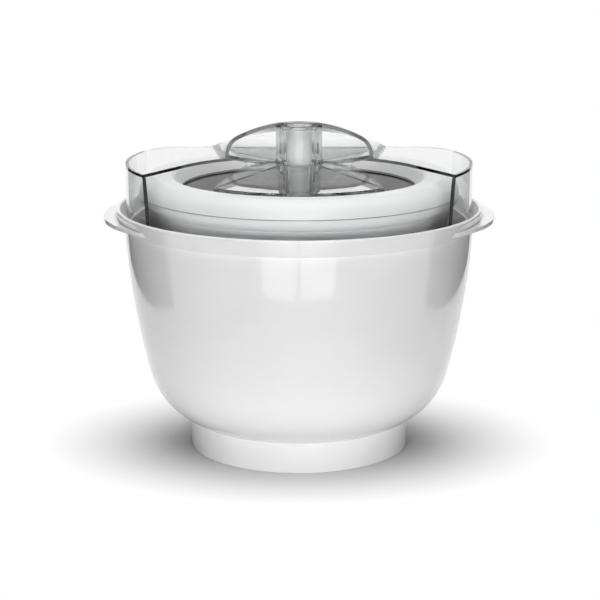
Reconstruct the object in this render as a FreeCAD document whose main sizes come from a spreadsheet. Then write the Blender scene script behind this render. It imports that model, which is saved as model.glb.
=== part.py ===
import FreeCAD, Part
import math
import os
import Sketcher

# An ice cream maker that a stand mixer turns from below. A freezer bowl stands in a white outer bowl,
# and a clear paddle and a clear lid stay still above it. Millimetres, +Z up, the front of the object is -Y.
# The origin is the middle of the foot, on the surface that it stands on.

SIZES = {
    "foot_radius": 72.0,
    "foot_height": 19.5,
    "bowl_wall": 3.0,
    "bowl_inner_lift": 1.0,
    "floor_edge": 2.4,
    "floor_under": 20.5,
    "floor_top": 24.0,
    "belly_radius": 98.5,
    "belly_height": 51.0,
    "belly_curve": 48.0,
    "flank_curve": 485.0,
    "crease_radius": 113.6,
    "crease_height": 148.5,
    "crease_step": 0.8,
    "rim_radius": 119.2,
    "rim_width": 2.9,
    "rim_under_inset": 2.0,
    "rim_top": 160.0,
    "ledge_height": 150.7,
    "ledge_radius": 113.4,
    "throat_radius": 109.6,
    "ear_tip": 127.2,
    "ear_end_x": 93.8,
    "ear_end_y": 70.7,
    "ear_bottom": 152.0,
    "ear_thickness": 2.5,
    "socket_bore": 8.0,
    "socket_radius": 13.7,
    "socket_bottom": 6.0,
    "socket_depth": 13.0,
    "flange_radius": 25.0,
    "flange_thickness": 3.0,
    "wing_root": 10.0,
    "wing_reach": 24.0,
    "wing_width": 5.0,
    "wing_bottom": 8.0,
    "screw_circle": 19.0,
    "screw_radius": 1.5,
    "screw_hole": 1.7,
    "screw_grip": 2.5,
    "screw_play": 0.2,
    "screw_head": 3.0,
    "screw_head_height": 1.8,
    "grip_inner": 54.0,
    "grip_outer": 63.0,
    "grip_height": 2.6,
    "shell_base": 27.0,
    "shell_base_radius": 66.0,
    "shell_wall": 2.5,
    "shell_inner_lift": 1.0,
    "shell_inner_inset": 0.6,
    "shell_bend_radius": 88.5,
    "shell_bend_height": 55.0,
    "shell_curve": 42.0,
    "shell_neck_radius": 97.8,
    "shell_neck_height": 161.0,
    "shell_lip_radius": 103.4,
    "shell_lip_curve": 9.0,
    "shell_top": 168.9,
    "shell_land": 79.5,
    "plug_radius": 9.0,
    "plug_height": 4.5,
    "plug_gap": 0.2,
    "plug_lip": 1.2,
    "seal_thickness": 0.6,
    "seal_inset": 1.5,
    "seal_recess": 0.8,
    "collar_radius": 104.0,
    "collar_top": 180.0,
    "collar_curve": 12.0,
    "collar_flat_outer": 93.0,
    "collar_flat_inner": 83.0,
    "mouth_radius": 81.0,
    "mouth_height": 179.0,
    "throat_slope_radius": 76.2,
    "throat_slope_height": 173.0,
    "liner_wall": 1.6,
    "liner_floor": 60.0,
    "liner_corner": 6.0,
    "liner_floor_radius": 70.0,
    "liner_top_radius": 75.4,
    "liner_flange": 84.0,
    "flange_gap": 0.5,
    "gasket_thickness": 1.2,
    "gasket_inset": 1.2,
    "gel_gap": 0.4,
    "gel_top": 158.0,
    "gel_dish": 2.2,
    "gel_edge_inset": 1.8,
    "pin_radius": 5.0,
    "pin_base": 12.0,
    "pin_base_height": 2.0,
    "pin_top": 73.5,
    "pin_round": 1.5,
    "cap_clearance": 0.05,
    "cap_radius": 8.0,
    "cap_top": 76.0,
    "cap_round": 1.5,
    "cap_lift": 0.4,
    "cap_headroom": 0.5,
    "hub_radius": 11.2,
    "hub_top": 210.5,
    "hub_bore": 8.4,
    "hub_waist": 6.5,
    "hub_bottom": 63.0,
    "hub_clearance": 0.3,
    "hub_headroom": 1.5,
    "root_overlap": 1.2,
    "sleeve_bottom": 184.5,
    "sleeve_bore": 4.5,
    "sleeve_gap": 0.1,
    "cap_plate": 2.0,
    "cap_stem": 6.0,
    "cap_edge": 1.0,
    "web_thickness": 3.0,
    "web_forward": 3.2,
    "web_tip": 40.0,
    "web_tip_top": 194.2,
    "web_nose": 1.4,
    "web_flat": 3.0,
    "web_knee": 187.5,
    "web_toe": 22.2,
    "web_root_top": 188.5,
    "web_bottom": 174.0,
    "fan_radius": 75.4,
    "fan_inner": 17.0,
    "fan_edge_height": 180.6,
    "fan_root_height": 188.6,
    "fan_thickness": 2.5,
    "fan_back": 33.6,
    "fan_corner": 53.5,
    "blade_thickness": 3.0,
    "blade_bottom": 63.0,
    "blade_toe": 62.0,
    "blade_sink": 1.0,
    "blade_foot_radius": 67.4,
    "blade_foot_height": 68.0,
    "blade_top_radius": 73.0,
    "blade_top": 172.0,
    "blade_width": 9.0,
    "bar_height": 10.6,
    "window_inset": 7.0,
    "window_bevel": 4.0,
    "window_rise": 6.0,
    "window_drop": 2.0,
    "wiper_thickness": 1.6,
    "wiper_gap": 0.7,
    "wiper_lean": 0.2,
    "wiper_drop": 3.0,
    "wiper_start": 13.5,
    "wiper_toe": 60.8,
    "lid_radius": 112.3,
    "lid_under": 187.0,
    "lid_thickness": 2.0,
    "lid_back": 60.0,
    "lid_corner": 30.0,
    "lid_front": -56.0,
    "bite_radius": 86.0,
    "bite_centre": -62.0,
    "skirt_bottom": 151.0,
    "skirt_slant": 4.5,
    "skirt_thickness": 2.0,
    "tube_radius": 15.1,
    "tube_bore": 11.6,
    "tube_bottom": 182.0,
    "tube_top": 212.5,
    "tube_room": 1.5,
    "tube_slot": 4.0,
    "tube_slot_top": 190.5,
    "hood_wall": 2.5,
    "hood_base": 192.7,
    "hood_front_half": 48.0,
    "hood_front_top": 214.8,
    "hood_front_curve": 14.0,
    "hood_front_sag": 4.2,
    "hood_back_half": 59.0,
    "hood_back_base": 189.5,
    "hood_back_top": 203.5,
    "hood_back_sag": 0.5,
    "hood_depth": 58.0,
    "hood_overlap": 0.5,
    "hood_sill_drop": 0.1,
    "overrun": 1.0,
}

SCREWS = 3
SCREW_TURN = 60.0
WINGS = 3
BLADE_TURNS = {"right": -45.0, "left": -135.0}
BACK_KNEE_SHARE = 0.75


class Size:
    """A length that carries its value and the expression that gives it from the sheet."""

    def __init__(self, value, text):
        self.value = value
        self.text = text

    def __add__(self, other):
        other = as_size(other)
        return Size(self.value + other.value, f"({self.text} + {other.text})")

    def __sub__(self, other):
        other = as_size(other)
        return Size(self.value - other.value, f"({self.text} - {other.text})")

    def __mul__(self, other):
        other = as_size(other)
        return Size(self.value * other.value, f"({self.text} * {other.text})")

    def __truediv__(self, other):
        other = as_size(other)
        return Size(self.value / other.value, f"({self.text} / {other.text})")

    def __neg__(self):
        return Size(-self.value, f"(-1 * {self.text})")

    def root(self):
        return Size(math.sqrt(self.value), f"sqrt({self.text})")


def as_size(number):
    if isinstance(number, Size):
        return number
    return Size(float(number), f"({float(number)})")


doc = FreeCAD.newDocument("ice_cream_maker")
sheet = doc.addObject("Spreadsheet::Sheet", "dims")
for row, (alias, number) in enumerate(SIZES.items(), 1):
    sheet.set(f"A{row}", alias)
    sheet.set(f"B{row}", str(number))
    sheet.setAlias(f"B{row}", alias)
doc.recompute()
PARTS = []


def dim(alias):
    return Size(SIZES[alias], f"dims.{alias}")


def new_body(label):
    body = doc.addObject("PartDesign::Body", label)
    body.Label = label
    body.AllowCompound = True
    PARTS.append(body)
    return body


def new_sketch(body, name, plane="XZ_Plane", lift=0.0, turn=0.0):
    """A sketch on one of the body's planes, moved along its normal and turned about Z."""
    sketch = body.newObject("Sketcher::SketchObject", f"{body.Label}_{name}")
    support = [f for f in body.Origin.OriginFeatures if f.Role == plane][0]
    sketch.AttachmentSupport = [(support, "")]
    sketch.MapMode = "FlatFace"
    upright = FreeCAD.Vector(0, 1, 0)
    sketch.AttachmentOffset = FreeCAD.Placement(FreeCAD.Vector(), FreeCAD.Rotation(upright, turn))
    sketch.setExpression("AttachmentOffset.Base.z", as_size(lift).text)
    return sketch


def arc_middle(start, end, radius):
    """The middle of the short arc between two points. A positive radius turns left on the way."""
    run = end - start
    half = run.Length / 2
    left = FreeCAD.Vector(-run.y, run.x, 0).normalize()
    side = math.copysign(1.0, radius)
    bow = abs(radius) - math.sqrt(radius * radius - half * half)
    return (start + end) * 0.5 - left * (side * bow)


def pin_point(sketch, curve, place, corner):
    for kind, length in zip(("DistanceX", "DistanceY"), corner):
        index = sketch.addConstraint(Sketcher.Constraint(kind, curve, place, length.value))
        sketch.setExpression(f"Constraints[{index}]", length.text)


def outline(sketch, corners):
    """A closed outline. Each corner is (x, y), or (x, y, radius) where an arc leads to it."""
    points = [[as_size(corner[0]), as_size(corner[1])] for corner in corners]
    spots = [FreeCAD.Vector(x.value, y.value, 0) for x, y in points]
    for index, corner in enumerate(corners):
        start = spots[index - 1]
        end = spots[index]
        if len(corner) == 2:
            curve = sketch.addGeometry(Part.LineSegment(start, end))
            pin_point(sketch, curve, 1, points[index - 1])
            pin_point(sketch, curve, 2, points[index])
            continue
        radius = as_size(corner[2])
        middle = arc_middle(start, end, radius.value)
        curve = sketch.addGeometry(Part.Arc(start, middle, end))
        first, last = (1, 2) if radius.value > 0 else (2, 1)
        pin_point(sketch, curve, first, points[index - 1])
        pin_point(sketch, curve, last, points[index])


def revolved(body, name, corners, angle=360.0):
    sketch = new_sketch(body, f"{name}_outline")
    outline(sketch, corners)
    turned = body.newObject("PartDesign::Revolution", f"{body.Label}_{name}")
    turned.Profile = sketch
    turned.ReferenceAxis = (sketch, ["V_Axis"])
    turned.Angle = angle
    return turned


def padded(body, name, outlines, length, plane="XY_Plane", lift=0.0, turn=0.0, both=False):
    sketch = new_sketch(body, f"{name}_outline", plane, lift, turn)
    for corners in outlines:
        outline(sketch, corners)
    pad = body.newObject("PartDesign::Pad", f"{body.Label}_{name}")
    pad.Profile = sketch
    pad.setExpression("Length", as_size(length).text)
    pad.Midplane = both
    return pad


def pocketed(body, name, outlines, length, plane="XY_Plane", lift=0.0, both=False, upward=True):
    sketch = new_sketch(body, f"{name}_outline", plane, lift)
    for corners in outlines:
        outline(sketch, corners)
    pocket = body.newObject("PartDesign::Pocket", f"{body.Label}_{name}")
    pocket.Profile = sketch
    pocket.setExpression("Length", as_size(length).text)
    pocket.Midplane = both
    pocket.Reversed = upward
    return pocket


def ring_corners(radius, centre_x=0.0, centre_y=0.0):
    """A full circle as four arcs."""
    x = as_size(centre_x)
    y = as_size(centre_y)
    return [
        (x + radius, y, radius),
        (x, y + radius, radius),
        (x - radius, y, radius),
        (x, y - radius, radius),
    ]


def screw_circles(alias):
    """One circle at the place of each drive screw."""
    circles = []
    for number in range(SCREWS):
        angle = math.radians(SCREW_TURN + number * 360.0 / SCREWS)
        x = dim("screw_circle") * math.cos(angle)
        y = dim("screw_circle") * math.sin(angle)
        circles.append(ring_corners(dim(alias), x, y))
    return circles


def build_outer_bowl():
    body = new_body("outer_bowl")
    wall = dim("bowl_wall")
    foot = dim("foot_radius")
    rim_round = dim("rim_width") / 2
    rim_shoulder = dim("rim_top") - rim_round
    revolved(body, "shell", [
        (0, dim("floor_under")),
        (foot - wall, dim("floor_under")),
        (foot - wall, 0),
        (foot, 0),
        (foot, dim("foot_height")),
        (dim("belly_radius"), dim("belly_height"), dim("belly_curve")),
        (dim("crease_radius"), dim("crease_height"), dim("flank_curve")),
        (dim("rim_radius") - dim("rim_under_inset"), dim("crease_height") + dim("crease_step")),
        (dim("rim_radius"), rim_shoulder),
        (dim("rim_radius") - rim_round, dim("rim_top"), rim_round),
        (dim("rim_radius") - dim("rim_width"), rim_shoulder, rim_round),
        (dim("ledge_radius"), dim("ledge_height")),
        (dim("throat_radius"), dim("ledge_height")),
        (dim("belly_radius") - wall, dim("belly_height") + dim("bowl_inner_lift"), wall - dim("flank_curve")),
        (foot + dim("floor_edge"), dim("floor_top"), wall - dim("belly_curve")),
        (0, dim("floor_top")),
    ])
    end_x = dim("ear_end_x")
    end_y = dim("ear_end_y")
    inner = (end_x * end_x + end_y * end_y).root()
    bow = dim("ear_tip") - end_x
    curve = (end_y * end_y + bow * bow) / (bow * 2)
    right = [
        (end_x, end_y, curve),
        (end_x, -end_y, -inner),
    ]
    left = [
        (-end_x, -end_y, curve),
        (-end_x, end_y, -inner),
    ]
    padded(body, "ears", [right, left], dim("ear_thickness"), lift=dim("ear_bottom"))
    depth = dim("screw_grip") + dim("screw_play")
    pocketed(body, "screw_holes", screw_circles("screw_hole"), depth, lift=dim("floor_under"))


def build_drive():
    body = new_body("drive_socket")
    bore = dim("socket_bore")
    seat = dim("floor_under")
    under = seat - dim("flange_thickness")
    revolved(body, "turned", [
        (bore, dim("socket_bottom")),
        (dim("socket_radius"), dim("socket_bottom")),
        (dim("socket_radius"), under),
        (dim("flange_radius"), under),
        (dim("flange_radius"), seat),
        (0, seat),
        (0, dim("socket_bottom") + dim("socket_depth")),
        (bore, dim("socket_bottom") + dim("socket_depth")),
    ])
    half = dim("wing_width") / 2
    root = dim("wing_root")
    wing = padded(body, "wing", [[
        (dim("wing_reach"), -half),
        (dim("wing_reach"), half),
        (root, half),
        (root, -half),
    ]], under - dim("wing_bottom") + dim("overrun"), lift=dim("wing_bottom"))
    wings = body.newObject("PartDesign::PolarPattern", "drive_socket_wings")
    wings.Originals = [wing]
    wings.Axis = (wing.Profile[0], ["N_Axis"])
    wings.Angle = 360
    wings.Occurrences = WINGS
    body.Tip = wings
    over = dim("overrun")
    depth = dim("flange_thickness") + over * 2
    pocketed(body, "screw_holes", screw_circles("screw_hole"), depth, lift=under - over)

    screws = new_body("drive_screws")
    head_height = dim("screw_head_height")
    shank_height = dim("flange_thickness") + dim("screw_grip")
    padded(screws, "heads", screw_circles("screw_head"), head_height, lift=under - head_height)
    padded(screws, "shanks", screw_circles("screw_radius"), shank_height, lift=under)

    ring = new_body("grip_ring")
    floor = dim("floor_top")
    height = dim("grip_height")
    crown = height / 2
    revolved(ring, "ring", [
        (dim("grip_inner"), floor),
        (dim("grip_outer"), floor),
        (dim("grip_outer"), floor + crown),
        (dim("grip_outer") - crown, floor + height, crown),
        (dim("grip_inner") + crown, floor + height),
        (dim("grip_inner"), floor + crown, crown),
    ])


def build_freezer_shell():
    body = new_body("freezer_shell")
    wall = dim("shell_wall")
    base = dim("shell_base")
    top = dim("shell_top")
    revolved(body, "shell", [
        (dim("plug_radius"), base),
        (dim("shell_base_radius"), base),
        (dim("shell_bend_radius"), dim("shell_bend_height"), dim("shell_curve")),
        (dim("shell_neck_radius"), dim("shell_neck_height")),
        (dim("shell_lip_radius"), top, dim("shell_lip_curve")),
        (dim("shell_land"), top),
        (dim("shell_land"), top - wall),
        (dim("shell_neck_radius") - wall, top - wall),
        (dim("shell_neck_radius") - wall, dim("shell_neck_height")),
        (dim("shell_bend_radius") - wall, dim("shell_bend_height") + dim("shell_inner_lift")),
        (dim("shell_base_radius") - dim("shell_inner_inset"), base + wall, wall - dim("shell_curve")),
        (dim("plug_radius"), base + wall),
    ])
    plug = new_body("fill_plug")
    gap = dim("plug_gap")
    radius = dim("plug_radius") - gap
    revolved(plug, "plug", [
        (0, base),
        (radius, base),
        (radius, base + wall + gap),
        (radius + dim("plug_lip"), base + wall + gap),
        (radius, base + dim("plug_height")),
        (0, base + dim("plug_height")),
    ])


def build_freezer_top():
    collar = new_body("freezer_collar")
    seam = dim("shell_top") + dim("seal_thickness")
    roof = dim("shell_top") + dim("liner_wall") + dim("gasket_thickness")
    step = dim("liner_flange") + dim("flange_gap")
    revolved(collar, "ring", [
        (dim("throat_slope_radius"), roof),
        (step, roof),
        (step, seam),
        (dim("collar_radius"), seam),
        (dim("collar_flat_outer"), dim("collar_top"), dim("collar_curve")),
        (dim("collar_flat_inner"), dim("collar_top")),
        (dim("mouth_radius"), dim("mouth_height")),
        (dim("throat_slope_radius"), dim("throat_slope_height")),
    ])
    seal = new_body("shell_seal")
    seal_inner = step + dim("seal_inset")
    seal_outer = dim("shell_lip_radius") - dim("seal_recess")
    revolved(seal, "ring", [
        (seal_inner, dim("shell_top")),
        (seal_outer, dim("shell_top")),
        (seal_outer, seam),
        (seal_inner, seam),
    ])
    gasket = new_body("liner_gasket")
    inner = dim("throat_slope_radius") + dim("gasket_inset")
    flange_top = dim("shell_top") + dim("liner_wall")
    revolved(gasket, "ring", [
        (inner, flange_top),
        (dim("liner_flange"), flange_top),
        (dim("liner_flange"), roof),
        (inner, roof),
    ])


def build_liner():
    body = new_body("freezer_liner")
    wall = dim("liner_wall")
    floor = dim("liner_floor")
    corner = dim("liner_corner")
    foot = dim("liner_floor_radius")
    flange_top = dim("shell_top") + wall
    revolved(body, "cup", [
        (0, floor - wall),
        (foot - corner, floor - wall),
        (foot + wall, floor + corner, corner + wall),
        (dim("liner_top_radius") + wall, dim("shell_top")),
        (dim("liner_flange"), dim("shell_top")),
        (dim("liner_flange"), flange_top),
        (dim("liner_top_radius"), flange_top),
        (foot, floor + corner),
        (foot - corner, floor, -corner),
        (0, floor),
    ])
    gel = new_body("coolant_gel")
    gap = dim("gel_gap")
    inside = dim("shell_wall") + gap
    base = dim("shell_base") + inside
    bend = dim("shell_bend_height") + dim("shell_inner_lift")
    revolved(gel, "fill", [
        (0, base + dim("gel_dish")),
        (dim("shell_base_radius") - dim("gel_edge_inset"), base + gap),
        (dim("shell_bend_radius") - inside, bend, dim("shell_curve") - inside),
        (dim("shell_neck_radius") - inside - gap, dim("gel_top")),
        (dim("liner_top_radius") + wall + gap, dim("gel_top")),
        (foot + wall + gap, floor + corner),
        (foot - corner, floor - wall - gap, -(corner + wall + gap)),
        (0, floor - wall - gap),
    ])
    pin = new_body("pivot_pin")
    radius = dim("pin_radius")
    bevel = dim("pin_round")
    revolved(pin, "pin", [
        (0, floor),
        (dim("pin_base"), floor),
        (dim("pin_base"), floor + dim("pin_base_height")),
        (radius, floor + dim("pin_base_height")),
        (radius, dim("pin_top") - bevel),
        (radius - bevel, dim("pin_top"), bevel),
        (0, dim("pin_top")),
    ])


def build_pivot_cap():
    body = new_body("pivot_cap")
    bore = dim("pin_radius") + dim("cap_clearance")
    mouth = dim("liner_floor") + dim("pin_base_height") + dim("cap_lift")
    roof = dim("pin_top") + dim("cap_headroom")
    bevel = dim("cap_round")
    revolved(body, "cup", [
        (bore, mouth),
        (dim("cap_radius"), mouth),
        (dim("cap_radius"), dim("cap_top") - bevel),
        (dim("cap_radius") - bevel, dim("cap_top"), bevel),
        (0, dim("cap_top")),
        (0, roof),
        (bore, roof),
    ])


def build_paddle():
    body = new_body("paddle")
    hub = dim("hub_radius")
    cup = dim("cap_radius") + dim("hub_clearance")
    cup_top = dim("cap_top") + dim("hub_headroom")
    revolved(body, "hub", [
        (cup, dim("hub_bottom")),
        (hub, dim("hub_bottom")),
        (hub, dim("hub_top")),
        (dim("hub_bore"), dim("hub_top")),
        (dim("hub_bore"), dim("sleeve_bottom")),
        (dim("hub_waist"), dim("sleeve_bottom")),
        (dim("hub_waist"), cup_top),
        (cup, cup_top),
    ])
    inside = hub - dim("root_overlap")
    tip = dim("web_tip")
    webs = []
    for side in (1, -1):
        webs.append([
            (inside * side, dim("web_bottom")),
            (dim("web_toe") * side, dim("web_bottom")),
            (dim("fan_back") * side, dim("web_knee")),
            (tip * side, dim("web_tip_top") - dim("web_nose")),
            (tip * side, dim("web_tip_top")),
            ((tip - dim("web_flat")) * side, dim("web_tip_top")),
            (inside * side, dim("web_root_top")),
        ][::side])
    padded(body, "webs", webs, dim("web_thickness"), "XZ_Plane", lift=dim("web_forward"), both=True)
    thick = dim("fan_thickness")
    notch = dim("fan_inner")
    fan = revolved(body, "fan", [
        (notch, dim("fan_root_height") - thick),
        (dim("fan_radius"), dim("fan_edge_height") - thick),
        (dim("fan_radius"), dim("fan_edge_height")),
        (notch, dim("fan_root_height")),
    ], angle=180.0)
    fan.Reversed = True
    over = dim("overrun")
    far = dim("fan_radius") + over
    corner = dim("fan_corner")
    back = dim("fan_back")
    cuts = []
    for side in (1, -1):
        cuts.append([
            (back * side, over),
            (corner * side, -corner),
            (far * side, -corner),
            (far * side, over),
        ][::side])
    lowest = dim("fan_edge_height") - thick - over
    pocketed(body, "fan_sides", cuts, dim("fan_root_height") - lowest + over / 2, lift=lowest)
    bar_top = dim("blade_bottom") + dim("bar_height")
    sink = dim("blade_sink")
    shoulder = dim("tube_bottom") - dim("tube_room")
    foot = dim("blade_foot_radius")
    edge = dim("blade_top_radius")
    foot_edge = foot - dim("blade_width")
    core = hub + dim("window_inset")
    for name, turn in BLADE_TURNS.items():
        frame = [
            (inside, dim("blade_bottom")),
            (dim("blade_toe"), dim("blade_bottom")),
            (foot, dim("blade_foot_height")),
            (edge, dim("blade_top")),
            (edge, dim("fan_edge_height") - sink),
            (notch, dim("fan_root_height") - sink),
            (notch, shoulder),
            (inside, shoulder),
        ]
        window = [
            (core, bar_top),
            (foot_edge - dim("window_bevel"), bar_top),
            (foot_edge, bar_top + dim("window_rise")),
            (edge - dim("blade_width"), dim("blade_top") - dim("window_rise")),
            (core, dim("blade_top") - dim("window_drop")),
        ]
        shapes = [frame, window]
        padded(body, f"{name}_blade", shapes, dim("blade_thickness"), "XZ_Plane", turn=turn, both=True)


def build_paddle_fittings():
    sleeve = new_body("hub_sleeve")
    radius = dim("hub_bore") - dim("sleeve_gap")
    revolved(sleeve, "tube", [
        (dim("sleeve_bore"), dim("sleeve_bottom")),
        (radius, dim("sleeve_bottom")),
        (radius, dim("hub_top")),
        (dim("sleeve_bore"), dim("hub_top")),
    ])
    cap = new_body("hub_cap")
    stem = dim("sleeve_bore") - dim("sleeve_gap")
    stem_end = dim("hub_top") - dim("cap_stem")
    rounding = dim("cap_edge")
    top = dim("hub_top") + dim("cap_plate")
    revolved(cap, "cap", [
        (0, stem_end),
        (stem, stem_end),
        (stem, dim("hub_top")),
        (dim("hub_radius"), dim("hub_top")),
        (dim("hub_radius"), top - rounding),
        (dim("hub_radius") - rounding, top, rounding),
        (0, top),
    ])
    low_edge = dim("liner_floor_radius") - dim("wiper_gap")
    high_edge = dim("liner_top_radius") - dim("wiper_gap") - dim("wiper_lean")
    rise = dim("blade_foot_height")
    under = dim("liner_floor") + dim("wiper_gap")
    for side, turn in BLADE_TURNS.items():
        wall_wiper = new_body(f"{side}_wall_wiper")
        padded(wall_wiper, "strip", [[
            (dim("blade_foot_radius"), rise),
            (low_edge, rise),
            (high_edge, dim("blade_top") - dim("wiper_drop")),
            (dim("blade_top_radius"), dim("blade_top")),
        ]], dim("wiper_thickness"), "XZ_Plane", turn=turn, both=True)
        floor_wiper = new_body(f"{side}_floor_wiper")
        padded(floor_wiper, "strip", [[
            (dim("wiper_start"), under),
            (dim("wiper_toe"), under),
            (dim("blade_toe"), dim("blade_bottom")),
            (dim("wiper_start"), dim("blade_bottom")),
        ]], dim("wiper_thickness"), "XZ_Plane", turn=turn, both=True)


def front_arch(half, base, top, side_curve, sill, sag):
    """A lens for the hood's mouth: a three-centred arch above short legs and a sagging sill below."""
    rise = top - base
    reach = half - side_curve
    crown = (reach * reach + rise * rise - side_curve * side_curve) / ((rise - side_curve) * 2)
    share = side_curve / (crown - side_curve)
    knee_x = reach + reach * share
    knee_z = base + (crown - rise) * share
    sill_curve = (half * half + sag * sag) / (sag * 2)
    return [
        (half, sill, sill_curve),
        (half, base),
        (knee_x, knee_z, side_curve),
        (-knee_x, knee_z, crown),
        (-half, base, side_curve),
        (-half, sill),
    ]


def back_arch(half, base, top, sill, sag):
    """A low bow for the hood's back, cut in the same order as the front arch."""
    rise = top - base
    crown = (half * half + rise * rise) / (rise * 2)
    knee_x = half * BACK_KNEE_SHARE
    knee_z = top - crown + (crown * crown - knee_x * knee_x).root()
    sill_curve = (half * half + sag * sag) / (sag * 2)
    return [
        (half, sill, sill_curve),
        (half, base),
        (knee_x, knee_z, crown),
        (-knee_x, knee_z, crown),
        (-half, base, crown),
        (-half, sill),
    ]


def build_lid():
    body = new_body("clear_lid")
    radius = dim("lid_radius")
    front = dim("lid_front")
    back = dim("lid_back")
    corner = dim("lid_corner")
    front_x = (radius * radius - front * front).root()
    turn_x = ((radius - corner) * (radius - corner) - (back - corner) * (back - corner)).root()
    grow = radius / (radius - corner)
    bend_x = turn_x * grow
    bend_y = (back - corner) * grow
    bite = dim("bite_radius")
    drop = front - dim("bite_centre")
    spread = front_x * front_x + drop * drop
    leg = (spread - bite * bite).root()
    touch_x = (front_x * bite - drop * leg) * bite / spread
    touch_y = dim("bite_centre") + (drop * bite + front_x * leg) * bite / spread
    padded(body, "plate", [[
        (front_x, front),
        (bend_x, bend_y, radius),
        (turn_x, back, corner),
        (-turn_x, back),
        (-bend_x, bend_y, corner),
        (-front_x, front, radius),
        (-touch_x, touch_y),
        (touch_x, touch_y, -bite),
    ]], dim("lid_thickness"), lift=dim("lid_under"))
    build_skirts(body, radius, front, bend_x, bend_y)
    build_hood(body)
    over = dim("overrun")
    low = dim("tube_bottom")
    bore_rise = dim("hood_front_top") - low + over * 2
    padded(body, "tube", [ring_corners(dim("tube_radius"))], dim("tube_top") - low, lift=low)
    pocketed(body, "tube_bore", [ring_corners(dim("tube_bore"))], bore_rise, lift=low - over)
    half = dim("tube_slot") / 2
    reach = dim("tube_radius") + over
    forward = dim("web_forward")
    slot = [
        (-reach, -half - forward),
        (reach, -half - forward),
        (reach, half - forward),
        (-reach, half - forward),
    ]
    pocketed(body, "tube_slot", [slot], dim("tube_slot_top") - low + over, lift=low - over)


def build_skirts(body, radius, front, bend_x, bend_y):
    """Two curved walls below the plate, whose front edges lean forward on the way down."""
    inner = radius - dim("skirt_thickness")
    shrink = inner / radius
    slant = dim("skirt_slant")
    over = dim("overrun")
    toe_y = front - slant - over
    toe_x = (radius * radius - toe_y * toe_y).root()
    skirts = []
    for side in (1, -1):
        skirts.append([
            (bend_x * side, bend_y, radius * side),
            (bend_x * shrink * side, bend_y * shrink),
            (toe_x * shrink * side, toe_y * shrink, -inner * side),
            (toe_x * side, toe_y),
        ])
    low = dim("skirt_bottom")
    padded(body, "skirts", skirts, dim("lid_under") - low, lift=low)
    top = dim("lid_under") + dim("lid_thickness")
    trim = [
        (front, top + over),
        (front, dim("lid_under")),
        (front - slant, low),
        (front - slant, low - over),
        (front * 2, low - over),
        (front * 2, top + over),
    ]
    pocketed(body, "skirt_trim", [trim], (radius + over) * 2, "YZ_Plane", both=True)


def build_hood(body):
    """The hood is a lens-shaped pocket, open to the front and closed at the back."""
    wall = dim("hood_wall")
    shapes = (
        ("hood", "PartDesign::AdditiveLoft", as_size(0), as_size(0)),
        ("hood_inside", "PartDesign::SubtractiveLoft", wall, dim("hood_overlap")),
    )
    for name, kind, inset, overlap in shapes:
        sections = []
        front = front_arch(
            dim("hood_front_half") - inset,
            dim("hood_base"),
            dim("hood_front_top") - inset,
            dim("hood_front_curve") - inset,
            dim("hood_base") - wall + inset - dim("hood_sill_drop"),
            dim("hood_front_sag"),
        )
        back = back_arch(
            dim("hood_back_half") - inset * 2,
            dim("hood_back_base") + inset / 2,
            dim("hood_back_top") - inset,
            dim("hood_back_base") - wall + inset,
            dim("hood_back_sag"),
        )
        places = (("front", front, overlap), ("back", back, inset - dim("hood_depth")))
        for place, corners, lift in places:
            sketch = new_sketch(body, f"{name}_{place}", "XZ_Plane", lift)
            outline(sketch, corners)
            sections.append(sketch)
        loft = body.newObject(kind, f"clear_lid_{name}")
        loft.Profile = sections[0]
        loft.Sections = [sections[1]]
        loft.Ruled = True


def check_and_write():
    doc.recompute()
    for item in doc.Objects:
        if "Invalid" in item.State or "Error" in item.State:
            raise RuntimeError(f"{item.Label} failed: {item.State}")
    os.makedirs("parts", exist_ok=True)
    for part in PARTS:
        shape = part.Shape
        if shape.isNull() or not shape.isValid() or not shape.Solids:
            raise RuntimeError(f"{part.Label} has no sound solid")
        shape.exportStep(f"parts/{part.Label}.step")
        box = shape.BoundBox
        reach = [round(length, 1) for length in (box.XLength, box.YLength, box.ZLength)]
        print(part.Label, len(shape.Solids), round(shape.Volume), reach)


build_outer_bowl()
build_drive()
build_freezer_shell()
build_freezer_top()
build_liner()
build_pivot_cap()
build_paddle()
build_paddle_fittings()
build_lid()
check_and_write()
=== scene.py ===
import math

import bpy
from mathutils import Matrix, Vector

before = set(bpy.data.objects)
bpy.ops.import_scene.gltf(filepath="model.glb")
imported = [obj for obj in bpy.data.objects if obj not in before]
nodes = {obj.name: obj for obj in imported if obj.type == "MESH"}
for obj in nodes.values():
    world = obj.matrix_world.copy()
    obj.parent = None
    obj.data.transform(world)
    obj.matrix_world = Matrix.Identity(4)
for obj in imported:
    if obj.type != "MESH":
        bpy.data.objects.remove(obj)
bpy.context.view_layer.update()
scene = bpy.context.scene

# Camera: place in metres, pitch in degrees, lens and sensor in millimetres
CAMERA_PLACE = (0.0006, -1.215, 0.3843)
CAMERA_PITCH = 76.65
CAMERA_LENS = 113.4
SENSOR_WIDTH = 36.0

# Large lamps that light matt surfaces: name, place and size in metres, power in watts
ROOM_LAMPS = (
    ("top_light", (0.0, 0.1, 1.3), (0.8, 1.0), 14.8),
    ("rear_light", (0.0, 1.5, 0.15), (2.0, 0.3), 12.0),
    ("front_light", (0.0, -1.5, 0.15), (1.0, 0.3), 12.6),
)
LIGHT_TARGET = (0.0, 0.0, 0.12)

# Lamp high behind the object that shows only as a glint
GLINT_PLACE = (0.0, 1.0, 0.74)
GLINT_SIZE = (0.3, 0.25)
GLINT_POWER = 0.5

# Narrow lamp near the floor that lights the bowl's foot
FOOT_LAMP_PLACE = (0.0, -0.5, 0.02)
FOOT_LAMP_SIZE = (0.5, 0.03)
FOOT_LAMP_POWER = 0.03
FOOT_LAMP_SPREAD = 22.0

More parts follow.
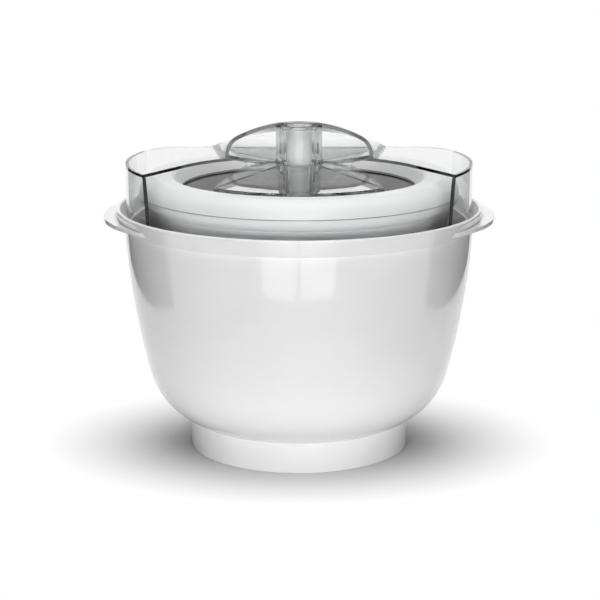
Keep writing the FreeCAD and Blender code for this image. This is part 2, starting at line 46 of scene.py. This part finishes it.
# Two window panes that show only as gloss on the bowl's front
WINDOW_X = 0.0445
WINDOW_Y = -0.25
WINDOW_Z = 0.33
WINDOW_SIZE = (0.081, 0.55)
WINDOW_POWER = 0.27

# Room: its light on the object, how pale it looks, and the sines of the angles where its ceiling fades in
WHITE = (1.0, 1.0, 1.0, 1.0)
WORLD_LEVEL = 0.08
HORIZON_LEVEL = 1.0
CEILING_LEVEL = 0.4
CEILING_START = 0.15
CEILING_END = 0.5

# Pale floor and its fade from shadow to white, in metres
FLOOR_SIZE = (30.0, 30.0)
FLOOR_PLACE = (0.0, 0.0, -0.0002)
FLOOR_COLOUR = (0.7, 0.7, 0.7, 1.0)
FLOOR_STRETCH = (1.0, 1.3, 1.0)
FLOOR_NEAR = 0.072
FLOOR_FAR = 0.17

# Cards at both sides and behind the object: sizes and places in metres
SIDE_CARD_X = 0.33
SIDE_CARD_Y = 0.2
SIDE_CARD_SIZE = (0.5, 0.25)
HIGH_CARD_PLACE = (0.0, 0.3, 0.25)
HIGH_CARD_SIZE = (0.11, 0.09)
LOW_CARD_PLACE = (0.0, 0.3, 0.14)
LOW_CARD_SIZE = (0.11, 0.04)
CARD_ROUGHNESS = 0.9

# Turns of flat panels and lamps about X, Y and Z, in degrees
LYING = (0.0, 0.0, 0.0)
UPRIGHT = (90.0, 0.0, 0.0)
UPRIGHT_SIDEWAYS = (90.0, 0.0, 90.0)

# Plastics and metal
NOISE_LOW = 0.3
NOISE_HIGH = 0.7
COAT_ROUGHNESS = 0.04
CLEAR_IOR = 1.49
CLEAR_ABSORPTION = (0.5, 0.51, 0.51, 1.0)
CLEAR_TINT = ((0.975, 0.98, 0.98), (0.99, 0.995, 0.995))
CLEAR_ROUGHNESS = (0.01, 0.025)
MILKY_ROUGHNESS = (0.3, 0.4)
MILKY_DEPTH = 0.012
SPUN_ROUGHNESS = (0.34, 0.5)
SPUN_STRETCH = (1.0, 1.0, 40.0)
RUBBER_ROUGHNESS = (0.5, 0.7)

# Light passes many clear walls, and clear pieces cast no dark shadow
CLEAR_BOUNCES = 32
SHADOWLESS_NODES = ("clear_lid", "paddle", "hub_sleeve", "hub_cap")


def grey(level):
    return (level, level, level)


def new_material(name):
    """A material with one Principled shader, and its tree."""
    material = bpy.data.materials.new(name)
    material.use_nodes = True
    tree = material.node_tree
    return material, tree, tree.nodes["Principled BSDF"]


def bare_material(name):
    """A material with an output and nothing else, and its tree."""
    material = bpy.data.materials.new(name)
    material.use_nodes = True
    tree = material.node_tree
    tree.nodes.clear()
    return material, tree, tree.nodes.new("ShaderNodeOutputMaterial")


def noise(tree, scale, detail=3.0, stretch=(1.0, 1.0, 1.0)):
    """Noise in the object's own metres. A larger scale makes smaller spots."""
    place = tree.nodes.new("ShaderNodeTexCoord")
    mapping = tree.nodes.new("ShaderNodeMapping")
    mapping.inputs["Scale"].default_value = stretch
    tree.links.new(place.outputs["Object"], mapping.inputs["Vector"])
    spots = tree.nodes.new("ShaderNodeTexNoise")
    spots.inputs["Scale"].default_value = scale
    spots.inputs["Detail"].default_value = detail
    tree.links.new(mapping.outputs["Vector"], spots.inputs["Vector"])
    return spots.outputs["Fac"]


def fade(tree, source, start, end, low=0.0, high=1.0):
    """Low where the source is at start, and high where it is at end."""
    spread = tree.nodes.new("ShaderNodeMapRange")
    spread.inputs["From Min"].default_value = start
    spread.inputs["From Max"].default_value = end
    spread.inputs["To Min"].default_value = low
    spread.inputs["To Max"].default_value = high
    tree.links.new(source, spread.inputs["Value"])
    return spread.outputs["Result"]


def combine(tree, operation, first, second):
    """One value from two."""
    result = tree.nodes.new("ShaderNodeMath")
    result.operation = operation
    tree.links.new(first, result.inputs[0])
    tree.links.new(second, result.inputs[1])
    return result.outputs["Value"]


def blend_shaders(tree, output, share, first, second):
    """Shows the first shader where share is 0, and the second where it is 1."""
    blend = tree.nodes.new("ShaderNodeMixShader")
    tree.links.new(share, blend.inputs["Fac"])
    tree.links.new(first, blend.inputs[1])
    tree.links.new(second, blend.inputs[2])
    tree.links.new(blend.outputs["Shader"], output.inputs["Surface"])


def add_tint(tree, shader, source, tint):
    """The noise spread between a dark and a light colour."""
    ramp = tree.nodes.new("ShaderNodeValToRGB")
    for element, position, colour in zip(ramp.color_ramp.elements, (NOISE_LOW, NOISE_HIGH), tint):
        element.position = position
        element.color = (*colour, 1.0)
    tree.links.new(source, ramp.inputs["Fac"])
    tree.links.new(ramp.outputs["Color"], shader.inputs["Base Color"])


def add_gloss(tree, shader, source, roughness):
    """The noise spread from a smooth to a rough finish."""
    spread = fade(tree, source, NOISE_LOW, NOISE_HIGH, *roughness)
    tree.links.new(spread, shader.inputs["Roughness"])


def add_bump(tree, shader, source, strength, depth):
    """The noise as a bump, with its depth in metres."""
    bump = tree.nodes.new("ShaderNodeBump")
    bump.inputs["Strength"].default_value = strength
    bump.inputs["Distance"].default_value = depth
    tree.links.new(source, bump.inputs["Height"])
    tree.links.new(bump.outputs["Normal"], shader.inputs["Normal"])


def moulded_plastic(name, tint, roughness, coat, grain):
    """Opaque moulded plastic: cloudy tint, uneven gloss and a fine grain."""
    material, tree, shader = new_material(name)
    add_tint(tree, shader, noise(tree, scale=18.0), tint)
    add_gloss(tree, shader, noise(tree, scale=60.0), roughness)
    shader.inputs["Coat Weight"].default_value = coat
    shader.inputs["Coat Roughness"].default_value = COAT_ROUGHNESS
    add_bump(tree, shader, noise(tree, scale=900.0, detail=2.0), strength=grain, depth=0.0002)
    return material


def clear_plastic(name, tint, roughness, density):
    """Clear moulded plastic with slightly uneven gloss, darker where light runs along a wall."""
    material, tree, shader = new_material(name)
    add_tint(tree, shader, noise(tree, scale=25.0), tint)
    add_gloss(tree, shader, noise(tree, scale=40.0), roughness)
    shader.inputs["Transmission Weight"].default_value = 1.0
    shader.inputs["IOR"].default_value = CLEAR_IOR
    absorb = tree.nodes.new("ShaderNodeVolumeAbsorption")
    absorb.inputs["Color"].default_value = CLEAR_ABSORPTION
    absorb.inputs["Density"].default_value = density
    tree.links.new(absorb.outputs["Volume"], tree.nodes["Material Output"].inputs["Volume"])
    add_bump(tree, shader, noise(tree, scale=30.0, detail=1.0), strength=0.04, depth=0.0005)
    return material


def milky_plastic(name, tint):
    """Milky plastic that light spreads through."""
    material, tree, shader = new_material(name)
    add_tint(tree, shader, noise(tree, scale=30.0), tint)
    add_gloss(tree, shader, noise(tree, scale=90.0), MILKY_ROUGHNESS)
    shader.inputs["Subsurface Weight"].default_value = 1.0
    shader.inputs["Subsurface Radius"].default_value = (1.0, 1.0, 1.0)
    shader.inputs["Subsurface Scale"].default_value = MILKY_DEPTH
    add_bump(tree, shader, noise(tree, scale=500.0, detail=2.0), strength=0.05, depth=0.0002)
    return material


def spun_metal(name, tint):
    """Metal with the fine rings of a spinning lathe."""
    material, tree, shader = new_material(name)
    rings = noise(tree, scale=60.0, detail=4.0, stretch=SPUN_STRETCH)
    add_tint(tree, shader, rings, tint)
    add_gloss(tree, shader, rings, SPUN_ROUGHNESS)
    shader.inputs["Metallic"].default_value = 1.0
    add_bump(tree, shader, rings, strength=0.08, depth=0.0003)
    return material


def soft_rubber(name, tint):
    """Matt rubber with a fine grain."""
    material, tree, shader = new_material(name)
    add_tint(tree, shader, noise(tree, scale=80.0), tint)
    add_gloss(tree, shader, noise(tree, scale=200.0), RUBBER_ROUGHNESS)
    add_bump(tree, shader, noise(tree, scale=1200.0, detail=2.0), strength=0.2, depth=0.0003)
    return material


def dress(material, *names):
    for name in names:
        mesh = nodes[name].data
        mesh.materials.clear()
        mesh.materials.append(material)


def dress_bowls():
    """White outer bowl, softer white freezer bowl with its metal cup, and the sealed gel between."""
    bowl_white = moulded_plastic(
        "bowl_white",
        tint=((0.78, 0.78, 0.785), (0.82, 0.82, 0.825)),
        roughness=(0.12, 0.18),
        coat=0.5,
        grain=0.02,
    )
    freezer_white = moulded_plastic(
        "freezer_white",
        tint=((0.77, 0.775, 0.78), (0.81, 0.815, 0.82)),
        roughness=(0.3, 0.38),
        coat=0.1,
        grain=0.03,
    )
    coolant = moulded_plastic(
        "coolant",
        tint=((0.3, 0.45, 0.58), (0.38, 0.54, 0.66)),
        roughness=(0.3, 0.4),
        coat=0.0,
        grain=0.02,
    )
    liner_metal = spun_metal("liner_metal", tint=((0.84, 0.837, 0.83), (0.92, 0.917, 0.91)))
    soft_grey = soft_rubber("soft_grey", tint=((0.1, 0.1, 0.105), (0.15, 0.15, 0.155)))
    dress(bowl_white, "outer_bowl")
    dress(freezer_white, "freezer_shell", "freezer_collar")
    dress(coolant, "coolant_gel")
    dress(liner_metal, "freezer_liner", "pivot_pin")
    dress(soft_grey, "grip_ring", "shell_seal", "liner_gasket", "fill_plug")


def dress_drive():
    """Grey drive socket and bearing cup, and steel screws."""
    drive_grey = moulded_plastic(
        "drive_grey",
        tint=((0.3, 0.31, 0.32), (0.36, 0.37, 0.38)),
        roughness=(0.4, 0.55),
        coat=0.0,
        grain=0.15,
    )
    screw_steel = spun_metal("screw_steel", tint=(grey(0.5), grey(0.62)))
    dress(drive_grey, "drive_socket", "pivot_cap")
    dress(screw_steel, "drive_screws")


def dress_clear_pieces():
    """Clear lid, paddle and hub cap, a milky sleeve in the hub, and frosted wipers."""
    lid_clear = clear_plastic("clear_plastic", CLEAR_TINT, CLEAR_ROUGHNESS, density=68.0)
    paddle_clear = clear_plastic("paddle_clear", CLEAR_TINT, CLEAR_ROUGHNESS, density=18.0)
    hub_clear = clear_plastic(
        "hub_clear",
        tint=((0.985, 0.99, 0.99), (0.995, 0.998, 0.998)),
        roughness=(0.01, 0.02),
        density=2.0,
    )
    wiper_clear = clear_plastic(
        "wiper_clear",
        tint=((0.82, 0.84, 0.85), (0.88, 0.9, 0.9)),
        roughness=(0.25, 0.4),
        density=60.0,
    )
    hub_milky = milky_plastic("hub_milky", tint=((0.96, 0.965, 0.965), (0.98, 0.985, 0.985)))
    dress(lid_clear, "clear_lid")
    dress(paddle_clear, "paddle")
    dress(hub_clear, "hub_cap")
    dress(hub_milky, "hub_sleeve")
    dress(wiper_clear, "left_wall_wiper", "right_wall_wiper", "left_floor_wiper", "right_floor_wiper")
    for name in SHADOWLESS_NODES:
        nodes[name].visible_shadow = False


def in_radians(turn):
    return [math.radians(angle) for angle in turn]


def plane(name, size, place, turn, material):
    """A flat stage panel in the XY plane, turned and put in its place."""
    mesh = bpy.data.meshes.new(name)
    x = size[0] / 2
    y = size[1] / 2
    mesh.from_pydata([(-x, -y, 0), (x, -y, 0), (x, y, 0), (-x, y, 0)], [], [(0, 1, 2, 3)])
    mesh.materials.append(material)
    panel = bpy.data.objects.new(name, mesh)
    panel.location = place
    panel.rotation_euler = in_radians(turn)
    scene.collection.objects.link(panel)
    return panel


def any_seeing_ray(tree):
    """1 for camera, glossy and transmission rays, which see the pale background as it is meant to look."""
    path = tree.nodes.new("ShaderNodeLightPath")
    seen = path.outputs["Is Camera Ray"]
    for kind in ("Is Glossy Ray", "Is Transmission Ray"):
        seen = combine(tree, "MAXIMUM", seen, path.outputs[kind])
    return seen


def distance_fade(tree):
    """0 near the object and 1 away from it, over the floor."""
    spot = tree.nodes.new("ShaderNodeNewGeometry")
    squeeze = tree.nodes.new("ShaderNodeVectorMath")
    squeeze.operation = "MULTIPLY"
    squeeze.inputs[1].default_value = FLOOR_STRETCH
    length = tree.nodes.new("ShaderNodeVectorMath")
    length.operation = "LENGTH"
    tree.links.new(spot.outputs["Position"], squeeze.inputs[0])
    tree.links.new(squeeze.outputs["Vector"], length.inputs[0])
    return fade(tree, length.outputs["Value"], FLOOR_NEAR, FLOOR_FAR)


def floor_material():
    """Pale floor that keeps the object's shadow and turns white a hand's breadth away from it."""
    material, tree, output = bare_material("floor")
    matt = tree.nodes.new("ShaderNodeBsdfDiffuse")
    matt.inputs["Color"].default_value = FLOOR_COLOUR
    glow = tree.nodes.new("ShaderNodeEmission")
    share = combine(tree, "MULTIPLY", distance_fade(tree), any_seeing_ray(tree))
    blend_shaders(tree, output, share, matt.outputs["BSDF"], glow.outputs["Emission"])
    return material


def card_material(name, tint):
    """Matt card that clear and glossy pieces mirror."""
    material, tree, shader = new_material(name)
    add_tint(tree, shader, noise(tree, scale=4.0), tint)
    shader.inputs["Roughness"].default_value = CARD_ROUGHNESS
    shader.inputs["Specular IOR Level"].default_value = 0.0
    return material


def fading_card_material(name, tint, height):
    """Card that thins out to nothing from its lower to its upper edge."""
    material, tree, output = bare_material(name)
    matt = tree.nodes.new("ShaderNodeBsdfDiffuse")
    matt.inputs["Color"].default_value = (*tint, 1.0)
    nothing = tree.nodes.new("ShaderNodeBsdfTransparent")
    place = tree.nodes.new("ShaderNodeTexCoord")
    split = tree.nodes.new("ShaderNodeSeparateXYZ")
    tree.links.new(place.outputs["Object"], split.inputs["Vector"])
    share = fade(tree, split.outputs["Y"], -height / 2, height / 2)
    blend_shaders(tree, output, share, matt.outputs["BSDF"], nothing.outputs["BSDF"])
    return material


def add_card(name, size, place, turn, material, through_clear):
    """Card that shows only in gloss and, if asked, through clear plastic."""
    card = plane(name, size, place, turn, material)
    card.visible_camera = False
    card.visible_diffuse = False
    card.visible_transmission = through_clear
    card.visible_shadow = False


def build_stage():
    """The floor, a dark card at each side, and two paler ones that the lid's hood shows."""
    plane("floor", FLOOR_SIZE, FLOOR_PLACE, LYING, floor_material())
    black = card_material("card_black", tint=(grey(0.02), grey(0.03)))
    for name, side in (("flag_left", -1), ("flag_right", 1)):
        place = (side * SIDE_CARD_X, SIDE_CARD_Y, SIDE_CARD_SIZE[1] / 2)
        add_card(name, SIDE_CARD_SIZE, place, UPRIGHT_SIDEWAYS, black, through_clear=False)
    pale = card_material("card_grey", tint=(grey(0.4), grey(0.44)))
    add_card("flag_back", HIGH_CARD_SIZE, HIGH_CARD_PLACE, UPRIGHT, pale, through_clear=True)
    fading = fading_card_material("card_fading", tint=grey(0.2), height=LOW_CARD_SIZE[1])
    add_card("flag_low", LOW_CARD_SIZE, LOW_CARD_PLACE, UPRIGHT, fading, through_clear=True)


def towards_object(place):
    """The turn that points a lamp at the object's middle."""
    away = Vector(place) - Vector(LIGHT_TARGET)
    return away.to_track_quat("Z", "Y").to_euler()


def add_lamp(name, place, size, power, turn, matt=False, gloss=False, clear=False):
    """Rectangular lamp that matt surfaces, gloss or clear plastic show, and no camera."""
    data = bpy.data.lights.new(name, "AREA")
    data.shape = "RECTANGLE"
    data.size = size[0]
    data.size_y = size[1]
    data.energy = power
    lamp = bpy.data.objects.new(name, data)
    lamp.location = place
    lamp.rotation_euler = turn
    lamp.visible_camera = False
    lamp.visible_diffuse = matt
    lamp.visible_glossy = gloss
    lamp.visible_transmission = clear
    scene.collection.objects.link(lamp)
    return lamp


def build_lights():
    """Soft light from above, behind and in front, a glint, a light on the foot and a window."""
    for name, place, size, power in ROOM_LAMPS:
        add_lamp(name, place, size, power, towards_object(place), matt=True)
    add_lamp("back_light", GLINT_PLACE, GLINT_SIZE, GLINT_POWER, towards_object(GLINT_PLACE), gloss=True)
    facing_back = in_radians(UPRIGHT)
    foot_lamp = add_lamp(
        "low_light", FOOT_LAMP_PLACE, FOOT_LAMP_SIZE, FOOT_LAMP_POWER, facing_back, matt=True, clear=True
    )
    foot_lamp.data.spread = math.radians(FOOT_LAMP_SPREAD)
    for name, side in (("window_left", -1), ("window_right", 1)):
        place = (side * WINDOW_X, WINDOW_Y, WINDOW_Z)
        add_lamp(name, place, WINDOW_SIZE, WINDOW_POWER, facing_back, gloss=True)


def studio_walls(tree):
    """White round the horizon and for the camera, darker overhead for what gloss and clear plastic show."""
    place = tree.nodes.new("ShaderNodeTexCoord")
    split = tree.nodes.new("ShaderNodeSeparateXYZ")
    tree.links.new(place.outputs["Generated"], split.inputs["Vector"])
    overhead = fade(tree, split.outputs["Z"], CEILING_START, CEILING_END, HORIZON_LEVEL, CEILING_LEVEL)
    path = tree.nodes.new("ShaderNodeLightPath")
    return combine(tree, "MAXIMUM", overhead, path.outputs["Is Camera Ray"])


def build_world():
    """A room that is seen white and lights the object only faintly."""
    world = bpy.data.worlds.new("studio")
    scene.world = world
    world.use_nodes = True
    tree = world.node_tree
    tree.nodes.clear()
    output = tree.nodes.new("ShaderNodeOutputWorld")
    shown = tree.nodes.new("ShaderNodeBackground")
    tree.links.new(studio_walls(tree), shown.inputs["Color"])
    lit = tree.nodes.new("ShaderNodeBackground")
    lit.inputs["Color"].default_value = WHITE
    lit.inputs["Strength"].default_value = WORLD_LEVEL
    blend_shaders(tree, output, any_seeing_ray(tree), lit.outputs["Background"], shown.outputs["Background"])


def build_camera():
    data = bpy.data.cameras.new("camera")
    data.lens = CAMERA_LENS
    data.sensor_width = SENSOR_WIDTH
    camera = bpy.data.objects.new("camera", data)
    camera.location = CAMERA_PLACE
    camera.rotation_euler = (math.radians(CAMERA_PITCH), 0.0, 0.0)
    scene.collection.objects.link(camera)
    scene.camera = camera


dress_bowls()
dress_drive()
dress_clear_pieces()
build_stage()
build_lights()
build_world()
build_camera()
scene.view_settings.view_transform = "Standard"
scene.cycles.max_bounces = CLEAR_BOUNCES
scene.cycles.transmission_bounces = CLEAR_BOUNCES
scene.cycles.glossy_bounces = CLEAR_BOUNCES
scene.cycles.caustics_refractive = False
